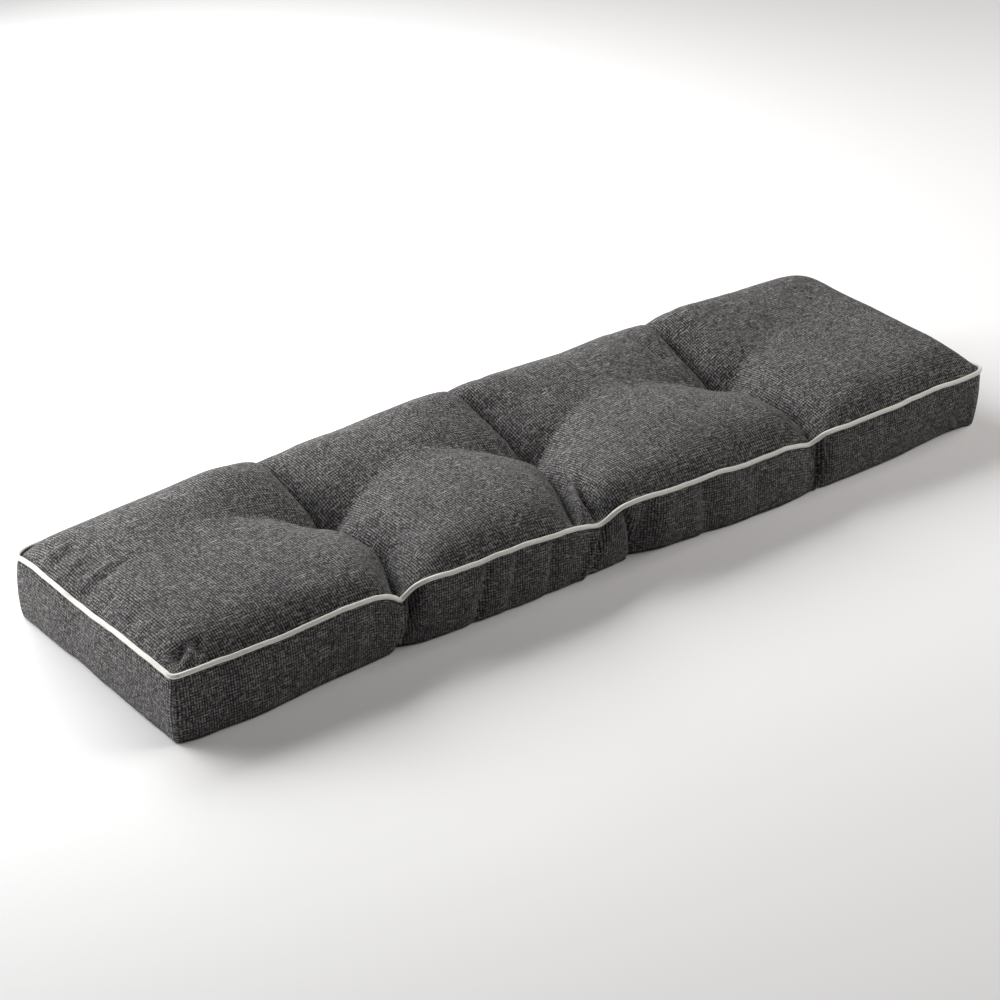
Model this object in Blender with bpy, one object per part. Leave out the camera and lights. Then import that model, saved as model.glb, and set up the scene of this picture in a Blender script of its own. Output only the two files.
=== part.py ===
"""Long boxed bench cushion with a piped top seam and three tufts.

World: metres, Z up, X along the length, Y across it (front at -Y), base on z = 0.
The shape is worked out in millimetres and scaled when the meshes are made.
"""
import bpy
import math
import numpy as np

for old in list(bpy.data.objects):
    bpy.data.objects.remove(old, do_unlink=True)

MM = 0.001

# ---------------------------------------------------------------- sizes, millimetres
HALF_L, HALF_W = 607.5, 172.6      # piping centre line: half length, half width
SEAM_Z = 82.0
CROWN = 28.0
CORD_R = 3.0
CORNER = dict(front_left=10.0, front_right=18.0, back_left=18.0, back_right=20.0)

def curve(x, table, col):
    """Monotone cubic through the rows of a table; column 0 is the station."""
    t = np.array([r[0] for r in table], float); v = np.array([r[col] for r in table], float)
    h = np.diff(t); d = np.diff(v)/h
    m = np.zeros_like(v); m[0], m[-1] = d[0], d[-1]
    for i in range(1, len(v)-1):
        if d[i-1]*d[i] > 0:
            w1, w2 = 2*h[i]+h[i-1], h[i]+2*h[i-1]
            m[i] = (w1+w2)/(w1/d[i-1]+w2/d[i])
    x = np.clip(np.asarray(x, float), t[0], t[-1])
    k = np.clip(np.searchsorted(t, x, side='right')-1, 0, len(t)-2)
    u = (x-t[k])/h[k]
    return ((2*u**3-3*u**2+1)*v[k] + (u**3-2*u**2+u)*h[k]*m[k] + (-2*u**3+3*u**2)*v[k+1] + (u**3-u**2)*h[k]*m[k+1])

# stations along the front edge: seam_z is the height of the cord, inset how far the seam is drawn in,
# foot how far the bottom seam stands outside the line of the cord
FRONT = [
 # x,    seam_z, inset, foot
 (-608,  81.5,  0.0,   3.0),
 (-575,  81.5,  0.0,   8.0),
 (-517,  81.5, -0.5,   8.5),
 (-460,  82.0, -1.0,   4.0),
 (-425,  84.5, -0.5,   0.0),
 (-390,  86.5,  0.0,  -2.5),
 (-350,  85.0,  1.0,  -3.0),
 (-330,  80.5,  3.0,  -3.5),
 (-317,  73.0,  6.0,  -3.0),
 (-306,  65.0,  9.0,  -3.0),
 (-299,  70.5,  7.5,  -3.0),
 (-287,  79.0,  4.0,  -3.5),
 (-274,  82.5,  1.0,  -3.5),
 (-216,  81.0, -0.5,  -3.0),
 (-150,  82.0, -1.0,  -3.0),
 (-100,  79.0, -0.5,  -3.0),
 ( -67,  75.5,  1.5,  -2.5),
 ( -41,  69.5,  4.5,  -1.5),
 ( -23,  64.0,  7.0,  -0.5),
 ( -13,  68.0,  6.0,  -2.5),
 (   0,  77.0,  3.0,  -6.0),
 (  14,  82.0,  1.0,  -9.0),
 (  30,  83.0,  0.0, -11.5),
 (  52,  82.5, -0.5, -10.5),
 (  90,  80.0, -1.0,  -6.0),
 ( 145,  80.0, -1.0,  -1.5),
 ( 195,  76.0, -0.5,   2.5),
 ( 250,  76.5,  0.0,   3.5),
 ( 288,  71.0,  3.5,   5.0),
 ( 309,  65.5,  7.0,   6.0),
 ( 319,  69.0,  5.0,   4.0),
 ( 334,  75.5,  1.5,   1.0),
 ( 387,  76.0, -0.5,  -0.5),
 ( 455,  78.0, -1.0,  -3.0),
 ( 520,  81.0, -0.5,  -9.5),
 ( 560,  79.5,  0.0, -12.0),
 ( 608,  81.0,  0.0, -11.0),
]
BACK = [
 # x,    seam_z, inset, foot
 (-608,  73.5,  0.0,  0.0),
 (-585,  76.5, -0.5,  1.0),
 (-540,  79.0, -1.0,  2.0),
 (-420,  83.0, -2.0,  2.0),
 (-350,  84.5,  0.0, -1.0),
 (-300,  82.5,  3.5, -4.0),
 (-255,  84.0,  0.5, -1.0),
 (-140,  87.0, -2.0,  2.0),
 ( -65,  88.0,  0.0, -1.0),
 ( -24,  86.5,  3.0, -4.0),
 (  20,  88.5,  0.5, -1.0),
 ( 130,  88.0, -2.0,  2.0),
 ( 250,  91.0,  0.0, -1.0),
 ( 304,  89.0,  3.5, -4.0),
 ( 350,  90.0,  0.5, -1.0),
 ( 430,  91.0, -2.0,  2.0),
 ( 540,  89.0, -1.0,  2.0),
 ( 608,  86.0,  0.0,  0.0),
]
LEFT = [
 # y,    seam_z, inset, foot
 (-173,  81.5,  0.0,  1.5),
 (-107,  83.0, -0.5,  1.5),
 ( -60,  82.5, -0.5,  1.5),
 ( -15,  80.5,  0.0,  1.5),
 (  20,  78.0,  1.0,  1.5),
 (  38,  77.5,  1.5,  1.5),
 (  56,  79.5,  0.5,  1.5),
 (  85,  81.0, -0.5,  1.5),
 ( 125,  81.5,  0.0,  1.5),
 ( 150,  79.0,  0.0,  1.5),
 ( 173,  73.5,  0.0,  1.5),
]
RIGHT = [
 # y,    seam_z, inset, foot
 (-173,  81.0,  0.0,  0.5),
 (-150,  78.0,  0.0,  1.0),
 ( -90,  74.5,  0.5,  1.5),
 (   0,  75.0,  1.0,  1.5),
 (  90,  77.0,  0.5,  2.0),
 ( 173,  83.0,  0.0,  1.0),
]

# the three creases, front to back: y, line x, depth, width to its left, width to its right
CREASES = [
 dict(tuft=(-289.0, 6.0), rows=[
  (-175.0, -312.0, 28.0, 14.0, 22.0),
  (-135.0, -296.0, 36.0, 17.0, 27.0),
  ( -85.0, -280.0, 40.0, 19.0, 33.0),
  (   6.0, -289.0, 40.0, 22.0, 36.0),
  (  60.0, -291.0, 27.0, 15.0, 36.0),
  ( 115.0, -292.0, 16.0, 10.0, 30.0),
  ( 150.0, -296.0,  7.0,  7.0, 20.0),
  ( 175.0, -300.0,  3.5,  6.0, 16.0)]),
 dict(tuft=(0.0, -7.0), rows=[
  (-175.0,  -62.0, 26.0, 20.0, 22.0),
  (-135.0,  -42.0, 33.0, 21.0, 27.0),
  ( -85.0,  -20.0, 38.0, 23.0, 33.0),
  (  -7.0,    0.0, 40.0, 24.0, 36.0),
  (  60.0,   -3.0, 27.0, 15.0, 38.0),
  ( 115.0,   -9.0, 15.0, 10.0, 32.0),
  ( 150.0,  -18.0,  7.0,  7.0, 20.0),
  ( 175.0,  -30.0,  3.5,  6.0, 16.0)]),
 dict(tuft=(305.0, -6.0), rows=[
  (-175.0,  309.0, 25.0, 14.0, 24.0),
  (-135.0,  322.0, 32.0, 18.0, 29.0),
  ( -85.0,  321.0, 37.0, 22.0, 34.0),
  (  -6.0,  305.0, 40.0, 24.0, 38.0),
  (  60.0,  303.0, 28.0, 16.0, 40.0),
  ( 115.0,  305.0, 18.0, 11.0, 32.0),
  ( 150.0,  306.0,  8.0,  8.0, 20.0),
  ( 175.0,  304.0,  3.5,  7.0, 16.0)]),
]
CREASE_MID = (-292.0, -12.0, 308.0)

def follow(x, y):
    """Columns of the grid run along the creases instead of straight across."""
    out = x+0.0
    for c, mid in zip(CREASES, CREASE_MID):
        out = out+(curve(y, c["rows"], 1)-mid)*np.cos(0.5*np.pi*np.clip((x-mid)/120.0, -1, 1))**2
    return out

def step(d, lam, n=1.0):
    return 1.0-np.exp(-(np.maximum(d, 0.0)/lam)**n)

def near_tuft(x):
    return np.min(np.abs(np.stack([x-c["tuft"][0] for c in CREASES])), axis=0)


def valley_y(x):
    """Line of the long valley: at each tuft it lies forward, between them further back."""
    base = np.interp(x, [c["tuft"][0] for c in CREASES], [c["tuft"][1] for c in CREASES])
    return base+50.0*(1.0-np.exp(-(near_tuft(x)/105.0)**1.5))


def depression(x, y):
    """How far tufts, creases and the long valley pull the top panel down."""
    p, total = 3.0, np.zeros_like(x)
    for c in CREASES:
        tx, ty = c["tuft"]
        s = x-curve(y, c["rows"], 1)
        deep, wl, wr = curve(y, c["rows"], 2), curve(y, c["rows"], 3), curve(y, c["rows"], 4)
        sm = np.sqrt(s*s+0.6)
        left = 1.0+0.35/(1.0+np.exp((y+120.0)/14.0))
        total += (deep*np.where(s < 0, np.exp(-(sm/wl)**left), np.exp(-(sm/wr)**1.0)))**p
        rx = np.where(x < tx, (x-tx)/38.0, (x-tx)/46.0)
        ry = np.where(y < ty, (y-ty)/34.0, (y-ty)/35.0)
        total += (47.0*np.exp(-np.sqrt(rx*rx+ry*ry+0.001)**1.1))**p
    near = np.exp(-(near_tuft(x)/82.0)**1.4)
    deep = (1.0+36.0*near**1.3)*step(x+HALF_L, 110.0, 1.6)*step(HALF_L-x, 110.0, 1.6)
    t = y-valley_y(x)
    sm = np.sqrt(t*t+1.5+70.0*(1.0-near)**2)
    width = np.where(t < 0, 30.0-10.0*near, 30.0-2.0*near)
    total += (deep*np.exp(-(sm/width)**(1.9-0.85*near**0.6)))**p
    return total**(1.0/p)


LOFT = [
 # x,    y,  rise, rx, ry : where the filling stands higher or lower
 (-450, -60,  3.0,  90, 60),
 (-440,  85,  8.0,  90, 60),
 (-340, 120,  8.0,  50, 48),
 (-370, 130,  7.5,  85, 52),
 ( -40, 136,  9.0, 120, 52),
 ( 350, 136,  9.0,  90, 52),
 ( 490, 130,  3.5,  65, 50),
 (  45, 130,  2.5,  40, 45),
 ( 255, 130,  3.0,  45, 45),
 ( 575,   0,  6.0,  40, 100),
 (-588, 150,  8.0,  34, 34),
 (-150, -60,  4.0,  80, 55),
 (-110,  95,  8.5,  80, 60),
 (-225, 120,  5.0,  40, 50),
 ( 140, -60,  4.0,  90, 55),
 ( -15, 140,  6.0,  55, 45),
 ( 110, 114,  9.5,  65, 55),
 ( 225, 112,  9.0,  60, 60),
 ( 430, -60,  1.0,  90, 60),
 ( 335, 140,  8.5,  50, 45),
 ( 430, 104,  8.5,  90, 60),
 ( 570, -110,  3.0,  50, 40),
 ( 545, 125,  6.5,  50, 45),
]

def top_z(x, y):
    df, db, dl, dr = y+HALF_W, HALF_W-y, x+HALF_L, HALF_L-x
    zs = SEAM_Z + (curve(x, FRONT, 1)-SEAM_Z)*np.exp(-np.maximum(df, 0)/30.0) \
                + (curve(x, BACK, 1)-SEAM_Z)*np.exp(-np.maximum(db, 0)/40.0) \
                + (curve(y, LEFT, 1)-SEAM_Z)*np.exp(-np.maximum(dl, 0)/30.0) \
                + (curve(y, RIGHT, 1)-SEAM_Z)*np.exp(-np.maximum(dr, 0)/30.0)
    E = step(df-2.8, 22.0)*step(db-2.8, 17.0)*step(dl-2.8, 28.0)*step(dr-2.8, 14.0)
    z = zs+1.6+CROWN*E-6.0*E*np.exp(-(np.maximum(db-2.8, 0)/30.0)**1.4)
    for cx, cy, h, rx, ry in LOFT:
        z = z+h*np.exp(-((x-cx)/rx)**2-((y-cy)/ry)**2)*E
    edge = step(df-2.8, 14.0)*step(db-2.8, 16.0)*step(dl-2.8, 20)*step(dr-2.8, 20)
    return z-depression(x, y)*edge

def corner_radius(x, y):
    return np.where(x < 0, np.where(y < 0, CORNER['front_left'], CORNER['back_left']),
                    np.where(y < 0, CORNER['front_right'], CORNER['back_right']))

def rounded(px, py, hl, hw):
    """Moves points of the sharp rectangle onto the rounded one; inner rings keep less of the radius."""
    ax, ay = np.abs(px), np.abs(py)
    d = np.minimum(hl-ax, hw-ay)
    a, b = hl-d, hw-d
    R = np.maximum(corner_radius(px, py)-0.30*d, 0.0)
    onx = (hl-ax) <= (hw-ay)
    with np.errstate(divide='ignore', invalid='ignore'):
        q = np.where(onx, (b-ay)/R, (a-ax)/R)
    near = (R > 1e-6) & (q < 1)
    q = np.clip(np.where(near, q, 1.0), 0, 1)
    th = np.radians(45.0)*(1-q)
    cx = np.where(onx, a-R+R*np.cos(th), a-R+R*np.sin(th))
    cy = np.where(onx, b-R+R*np.sin(th), b-R+R*np.cos(th))
    return np.where(near, np.sign(px)*cx, px), np.where(near, np.sign(py)*cy, py)

def inset(x, y):
    """Draws the rounded rectangle in at the creases."""
    fi, bi = curve(x, FRONT, 2), curve(x, BACK, 2)
    li, ri = curve(y, LEFT, 2), curve(y, RIGHT, 2)
    wf = np.clip((HALF_W-y)/(2*HALF_W), 0, 1)**1.5; wb = np.clip((HALF_W+y)/(2*HALF_W), 0, 1)**1.5
    wl = np.clip((HALF_L-x)/(2*HALF_L), 0, 1)**3; wr = np.clip((HALF_L+x)/(2*HALF_L), 0, 1)**3
    return x+li*wl-ri*wr, y+fi*wf-bi*wb

def seam_height(x, y):
    df, db, dl, dr = y+HALF_W, HALF_W-y, x+HALF_L, HALF_L-x
    f, b, l, r = curve(x, FRONT, 1), curve(x, BACK, 1), curve(y, LEFT, 1), curve(y, RIGHT, 1)
    w = [np.exp(-np.maximum(v, 0)/8.0) for v in (df, db, dl, dr)]
    return (w[0]*f+w[1]*b+w[2]*l+w[3]*r)/(w[0]+w[1]+w[2]+w[3])

def foot_out(x, y):
    df, db, dl, dr = y+HALF_W, HALF_W-y, x+HALF_L, HALF_L-x
    f, b, l, r = curve(x, FRONT, 3), curve(x, BACK, 3), curve(y, LEFT, 3), curve(y, RIGHT, 3)
    w = [np.exp(-np.maximum(v, 0)/8.0) for v in (df, db, dl, dr)]
    return (w[0]*f+w[1]*b+w[2]*l+w[3]*r)/(w[0]+w[1]+w[2]+w[3])

def loop_of(xs, ys, hl, hw):
    """Perimeter of the grid, anticlockwise from front left."""
    n, m = len(xs), len(ys)
    fx, bx = follow(xs, np.full(n, -hw)), follow(xs, np.full(n, hw))
    P = [(fx[i], -hw) for i in range(n)] + [(hl, ys[j]) for j in range(1, m)] + \
        [(bx[i], hw) for i in range(n-2, -1, -1)] + [(-hl, ys[j]) for j in range(m-2, 0, -1)]
    P = np.array(P, float)
    return P[:, 0], P[:, 1]

def outline(px, py):
    """Seam line (cord centre) and outward normals for perimeter stations."""
    X, Y = rounded(px, py, HALF_L, HALF_W)
    Z = seam_height(X, Y)
    X2, Y2 = inset(X, Y)
    T = np.stack([np.roll(X2, -1)-np.roll(X2, 1), np.roll(Y2, -1)-np.roll(Y2, 1)], -1)
    T /= np.linalg.norm(T, axis=1)[:, None]
    N = np.stack([T[:, 1], -T[:, 0]], -1)
    return X, Y, X2, Y2, Z, N


# ---------------------------------------------------------------- meshes
def stations(half, coarse, fine, end_fine, spots):
    """Rows of the grid from -half to half: close at the ends and at the creases, wide between."""
    x, rows = -half, [-half]
    while x < half-1e-6:
        h = min(coarse, end_fine+min(x+half, half-x)*0.40)
        for centre, reach in spots:
            near = abs(x+0.5*h-centre)/reach
            if near < 1.0:
                h = min(h, fine+(coarse-fine)*near**2)
        x += h
        rows.append(x)
    rows = np.array(rows)
    return -half+(rows+half)*(2*half)/(rows[-1]+half)


def frames(px, py):
    """Cord centre line with its outward and upward directions at the stations of the edge."""
    X, Y, X2, Y2, Z, N2 = outline(px, py)
    P = np.stack([X2, Y2, Z], -1)
    T = np.roll(P, -1, axis=0)-np.roll(P, 1, axis=0)
    T /= np.linalg.norm(T, axis=1)[:, None]
    N = np.stack([N2[:, 0], N2[:, 1], np.zeros(len(N2))], -1)
    U = np.cross(N, T)
    U /= np.linalg.norm(U, axis=1)[:, None]
    return X, Y, P, N, U


def triangles(quads):
    out = []
    for a, b, c, d in quads:
        out.append((a, b, c))
        out.append((a, c, d))
    return out


def make_object(name, verts, faces, colour, roughness):
    mesh = bpy.data.meshes.new(name)
    mesh.from_pydata([tuple(float(k)*MM for k in v) for v in verts], [], faces)
    mesh.update()
    mat = bpy.data.materials.new(name)
    mat.use_nodes = True
    bsdf = mat.node_tree.nodes["Principled BSDF"]
    bsdf.inputs["Base Color"].default_value = (*colour, 1.0)
    bsdf.inputs["Roughness"].default_value = roughness
    bsdf.inputs["Metallic"].default_value = 0.0
    mat.diffuse_color = (*colour, 1.0)
    mesh.materials.append(mat)
    obj = bpy.data.objects.new(name, mesh)
    bpy.context.scene.collection.objects.link(obj)
    return obj


CREASE_SPOTS = [(-292.0, 62.0), (-6.0, 70.0), (308.0, 62.0)]
XS = stations(HALF_L, 34.0, 6.5, 4.5, CREASE_SPOTS)
YS = stations(HALF_W, 19.0, 9.0, 4.5, [(0.0, 45.0)])
NX, NY = len(XS), len(YS)
EDGE_X, EDGE_Y = loop_of(XS, YS, HALF_L, HALF_W)
LOOP = len(EDGE_X)


def loop_index(i, j):
    """Place of an edge node of the grid in the edge loop."""
    if j == 0:
        return i
    if i == NX-1:
        return NX-1+j
    if j == NY-1:
        return NX-1+NY-1+(NX-1-i)
    return 2*(NX-1)+NY-1+(NY-1-j)


def build_cushion():
    X, Y, P, N, U = frames(EDGE_X, EDGE_Y)
    foot = foot_out(X, Y)
    verts, rings = [], []

    def ring(points):
        rings.append(len(verts))
        verts.extend(points)

    # lip above the cord, groove behind it, lip below it, boxing, bottom seam
    ring(P-3.5*N+1.8*U)
    ring(P-4.0*N-0.6*U)
    ring(P-1.5*N-3.7*U)
    low = P-1.5*N-3.7*U
    for part_way, out in ((0.10, 0.7), (0.40, 3.0), (0.72, 2.6)):
        Q = low.copy()
        reach = foot*part_way+out+1.5*part_way
        Q[:, 0] = low[:, 0]+N[:, 0]*reach
        Q[:, 1] = low[:, 1]+N[:, 1]*reach
        Q[:, 2] = low[:, 2]*(1-part_way)+3.0*part_way
        ring(Q)
    Q = P+N*foot[:, None]
    Q[:, 2] = 3.2
    ring(Q)
    Q = P+N*(foot-1.8)[:, None]
    Q[:, 2] = 0.0
    ring(Q)

    quads = []
    for a, b in zip(rings[:-1], rings[1:]):
        for k in range(LOOP):
            k2 = (k+1) % LOOP
            quads.append((a+k, b+k, b+k2, a+k2))

    # top panel: its edge is the upper lip
    GX, GY = np.meshgrid(XS, YS, indexing="ij")
    RX, RY = rounded(follow(GX, GY), GY, HALF_L, HALF_W)
    TZ = top_z(RX, RY)
    TX, TY = inset(RX, RY)
    top = -np.ones((NX, NY), int)
    base = -np.ones((NX, NY), int)
    sole = verts[rings[-1]:rings[-1]+LOOP]
    front = [sole[loop_index(i, 0)] for i in range(NX)]
    back = [sole[loop_index(i, NY-1)] for i in range(NX)]
    for i in range(NX):
        for j in range(NY):
            if i in (0, NX-1) or j in (0, NY-1):
                k = loop_index(i, j)
                top[i, j] = rings[0]+k
                base[i, j] = rings[-1]+k
            else:
                top[i, j] = len(verts)
                verts.append(np.array([TX[i, j], TY[i, j], TZ[i, j]]))
                base[i, j] = len(verts)
                t = (YS[j]+HALF_W)/(2*HALF_W)
                verts.append(front[i]*(1-t)+back[i]*t)
    for i in range(NX-1):
        for j in range(NY-1):
            quads.append((top[i, j], top[i+1, j], top[i+1, j+1], top[i, j+1]))
            quads.append((base[i, j], base[i, j+1], base[i+1, j+1], base[i+1, j]))
    return make_object("cushion", verts, triangles(quads), (0.113, 0.109, 0.109), 0.92)


def build_piping():
    X, Y, P, N, U = frames(EDGE_X, EDGE_Y)
    verts, quads = [], []
    sides = 8
    for k in range(sides):
        a = 2*math.pi*(k+0.5)/sides
        verts.extend(P+CORD_R*math.cos(a)*N+CORD_R*math.sin(a)*U)
    for k in range(sides):
        k2 = (k+1) % sides
        for s in range(LOOP):
            s2 = (s+1) % LOOP
            quads.append((k*LOOP+s, k*LOOP+s2, k2*LOOP+s2, k2*LOOP+s))
    return make_object("piping", verts, triangles(quads), (0.80, 0.78, 0.735), 0.85)


build_cushion()
build_piping()
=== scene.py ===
"""Looks of the long boxed bench cushion: filled cover and piping in place of the plain solids.

Metres in the scene; the shape is worked out in millimetres and scaled when the meshes are made.
X runs along the cushion, Y across it (front at -Y), Z up from its flat underside.
"""
import math
import bpy
import numpy as np
from mathutils import Matrix, Vector, geometry


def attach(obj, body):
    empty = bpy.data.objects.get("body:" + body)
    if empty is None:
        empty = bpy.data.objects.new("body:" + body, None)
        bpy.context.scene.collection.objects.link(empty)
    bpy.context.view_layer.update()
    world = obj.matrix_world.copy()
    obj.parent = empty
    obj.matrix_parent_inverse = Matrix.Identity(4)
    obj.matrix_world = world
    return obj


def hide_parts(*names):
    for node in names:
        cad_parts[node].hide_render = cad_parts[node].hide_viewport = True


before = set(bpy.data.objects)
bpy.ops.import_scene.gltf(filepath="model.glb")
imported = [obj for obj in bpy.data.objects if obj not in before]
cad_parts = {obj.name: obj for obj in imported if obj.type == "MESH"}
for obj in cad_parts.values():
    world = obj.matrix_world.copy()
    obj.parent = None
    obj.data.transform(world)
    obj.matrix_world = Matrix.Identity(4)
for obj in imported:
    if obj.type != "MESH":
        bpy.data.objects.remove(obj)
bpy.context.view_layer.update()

MM = 0.001

# ---------------------------------------------------------------- sizes, millimetres
HALF_L, HALF_W = 607.5, 172.6      # piping centre line: half length, half width
SEAM_Z = 82.0
CROWN = 28.0
CORD_R = 3.0
CORNER = dict(front_left=10.0, front_right=18.0, back_left=18.0, back_right=20.0)

def curve(x, table, col):
    """Monotone cubic through the rows of a table; column 0 is the station."""
    t = np.array([r[0] for r in table], float); v = np.array([r[col] for r in table], float)
    h = np.diff(t); d = np.diff(v)/h
    m = np.zeros_like(v); m[0], m[-1] = d[0], d[-1]
    for i in range(1, len(v)-1):
        if d[i-1]*d[i] > 0:
            w1, w2 = 2*h[i]+h[i-1], h[i]+2*h[i-1]
            m[i] = (w1+w2)/(w1/d[i-1]+w2/d[i])
    x = np.clip(np.asarray(x, float), t[0], t[-1])
    k = np.clip(np.searchsorted(t, x, side='right')-1, 0, len(t)-2)
    u = (x-t[k])/h[k]
    return ((2*u**3-3*u**2+1)*v[k] + (u**3-2*u**2+u)*h[k]*m[k] + (-2*u**3+3*u**2)*v[k+1] + (u**3-u**2)*h[k]*m[k+1])

# stations along the front edge: seam_z is the height of the cord, inset how far the seam is drawn in,
# foot how far the bottom seam stands outside the line of the cord
FRONT = [
 # x,    seam_z, inset, foot
 (-608,  81.5,  0.0,   3.0),
 (-575,  81.5,  0.0,   8.0),
 (-517,  81.5, -0.5,   8.5),
 (-460,  82.0, -1.0,   4.0),
 (-425,  84.5, -0.5,   0.0),
 (-390,  86.5,  0.0,  -2.5),
 (-350,  85.0,  1.0,  -3.0),
 (-330,  80.5,  3.0,  -3.5),
 (-317,  73.0,  6.0,  -3.0),
 (-306,  65.0,  9.0,  -3.0),
 (-299,  70.5,  7.5,  -3.0),
 (-287,  79.0,  4.0,  -3.5),
 (-274,  82.5,  1.0,  -3.5),
 (-216,  81.0, -0.5,  -3.0),
 (-150,  82.0, -1.0,  -3.0),
 (-100,  79.0, -0.5,  -3.0),
 ( -67,  75.5,  1.5,  -2.5),
 ( -41,  69.5,  4.5,  -1.5),
 ( -23,  64.0,  7.0,  -0.5),
 ( -13,  68.0,  6.0,  -2.5),
 (   0,  77.0,  3.0,  -6.0),
 (  14,  82.0,  1.0,  -9.0),
 (  30,  83.0,  0.0, -11.5),
 (  52,  82.5, -0.5, -10.5),
 (  90,  80.0, -1.0,  -6.0),
 ( 145,  80.0, -1.0,  -1.5),
 ( 195,  76.0, -0.5,   2.5),
 ( 250,  76.5,  0.0,   3.5),
 ( 288,  71.0,  3.5,   5.0),
 ( 309,  65.5,  7.0,   6.0),
 ( 319,  69.0,  5.0,   4.0),
 ( 334,  75.5,  1.5,   1.0),
 ( 387,  76.0, -0.5,  -0.5),
 ( 455,  78.0, -1.0,  -3.0),
 ( 520,  81.0, -0.5,  -9.5),
 ( 560,  79.5,  0.0, -12.0),
 ( 608,  81.0,  0.0, -11.0),
]
BACK = [
 # x,    seam_z, inset, foot
 (-608,  73.5,  0.0,  0.0),
 (-585,  76.5, -0.5,  1.0),
 (-540,  79.0, -1.0,  2.0),
 (-420,  83.0, -2.0,  2.0),
 (-350,  84.5,  0.0, -1.0),
 (-300,  82.5,  3.5, -4.0),
 (-255,  84.0,  0.5, -1.0),
 (-140,  87.0, -2.0,  2.0),
 ( -65,  88.0,  0.0, -1.0),
 ( -24,  86.5,  3.0, -4.0),
 (  20,  88.5,  0.5, -1.0),
 ( 130,  88.0, -2.0,  2.0),
 ( 250,  91.0,  0.0, -1.0),
 ( 304,  89.0,  3.5, -4.0),
 ( 350,  90.0,  0.5, -1.0),
 ( 430,  91.0, -2.0,  2.0),
 ( 540,  89.0, -1.0,  2.0),
 ( 608,  86.0,  0.0,  0.0),
]
LEFT = [
 # y,    seam_z, inset, foot
 (-173,  81.5,  0.0,  1.5),
 (-107,  83.0, -0.5,  1.5),
 ( -60,  82.5, -0.5,  1.5),
 ( -15,  80.5,  0.0,  1.5),
 (  20,  78.0,  1.0,  1.5),
 (  38,  77.5,  1.5,  1.5),
 (  56,  79.5,  0.5,  1.5),
 (  85,  81.0, -0.5,  1.5),
 ( 125,  81.5,  0.0,  1.5),
 ( 150,  79.0,  0.0,  1.5),
 ( 173,  73.5,  0.0,  1.5),
]
RIGHT = [
 # y,    seam_z, inset, foot
 (-173,  81.0,  0.0,  0.5),
 (-150,  78.0,  0.0,  1.0),
 ( -90,  74.5,  0.5,  1.5),
 (   0,  75.0,  1.0,  1.5),
 (  90,  77.0,  0.5,  2.0),
 ( 173,  83.0,  0.0,  1.0),
]

# the three creases, front to back: y, line x, depth, width to its left, width to its right
CREASES = [
 dict(tuft=(-289.0, 6.0), rows=[
  (-175.0, -312.0, 28.0, 14.0, 22.0),
  (-135.0, -296.0, 36.0, 17.0, 27.0),
  ( -85.0, -280.0, 40.0, 19.0, 33.0),
  (   6.0, -289.0, 40.0, 22.0, 36.0),
  (  60.0, -291.0, 27.0, 15.0, 36.0),
  ( 115.0, -292.0, 16.0, 10.0, 30.0),
  ( 150.0, -296.0,  7.0,  7.0, 20.0),
  ( 175.0, -300.0,  3.5,  6.0, 16.0)]),
 dict(tuft=(0.0, -7.0), rows=[
  (-175.0,  -62.0, 26.0, 20.0, 22.0),
  (-135.0,  -42.0, 33.0, 21.0, 27.0),
  ( -85.0,  -20.0, 38.0, 23.0, 33.0),
  (  -7.0,    0.0, 40.0, 24.0, 36.0),
  (  60.0,   -3.0, 27.0, 15.0, 38.0),
  ( 115.0,   -9.0, 15.0, 10.0, 32.0),
  ( 150.0,  -18.0,  7.0,  7.0, 20.0),
  ( 175.0,  -30.0,  3.5,  6.0, 16.0)]),
 dict(tuft=(305.0, -6.0), rows=[
  (-175.0,  309.0, 25.0, 14.0, 24.0),
  (-135.0,  322.0, 32.0, 18.0, 29.0),
  ( -85.0,  321.0, 37.0, 22.0, 34.0),
  (  -6.0,  305.0, 40.0, 24.0, 38.0),
  (  60.0,  303.0, 28.0, 16.0, 40.0),
  ( 115.0,  305.0, 18.0, 11.0, 32.0),
  ( 150.0,  306.0,  8.0,  8.0, 20.0),
  ( 175.0,  304.0,  3.5,  7.0, 16.0)]),
]
CREASE_MID = (-292.0, -12.0, 308.0)

def follow(x, y):
    """Columns of the grid run along the creases instead of straight across."""
    out = x+0.0
    for c, mid in zip(CREASES, CREASE_MID):
        out = out+(curve(y, c["rows"], 1)-mid)*np.cos(0.5*np.pi*np.clip((x-mid)/120.0, -1, 1))**2
    return out

def step(d, lam, n=1.0):
    return 1.0-np.exp(-(np.maximum(d, 0.0)/lam)**n)

def near_tuft(x):
    return np.min(np.abs(np.stack([x-c["tuft"][0] for c in CREASES])), axis=0)


def valley_y(x):
    """Line of the long valley: at each tuft it lies forward, between them further back."""
    base = np.interp(x, [c["tuft"][0] for c in CREASES], [c["tuft"][1] for c in CREASES])
    return base+50.0*(1.0-np.exp(-(near_tuft(x)/105.0)**1.5))


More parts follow.
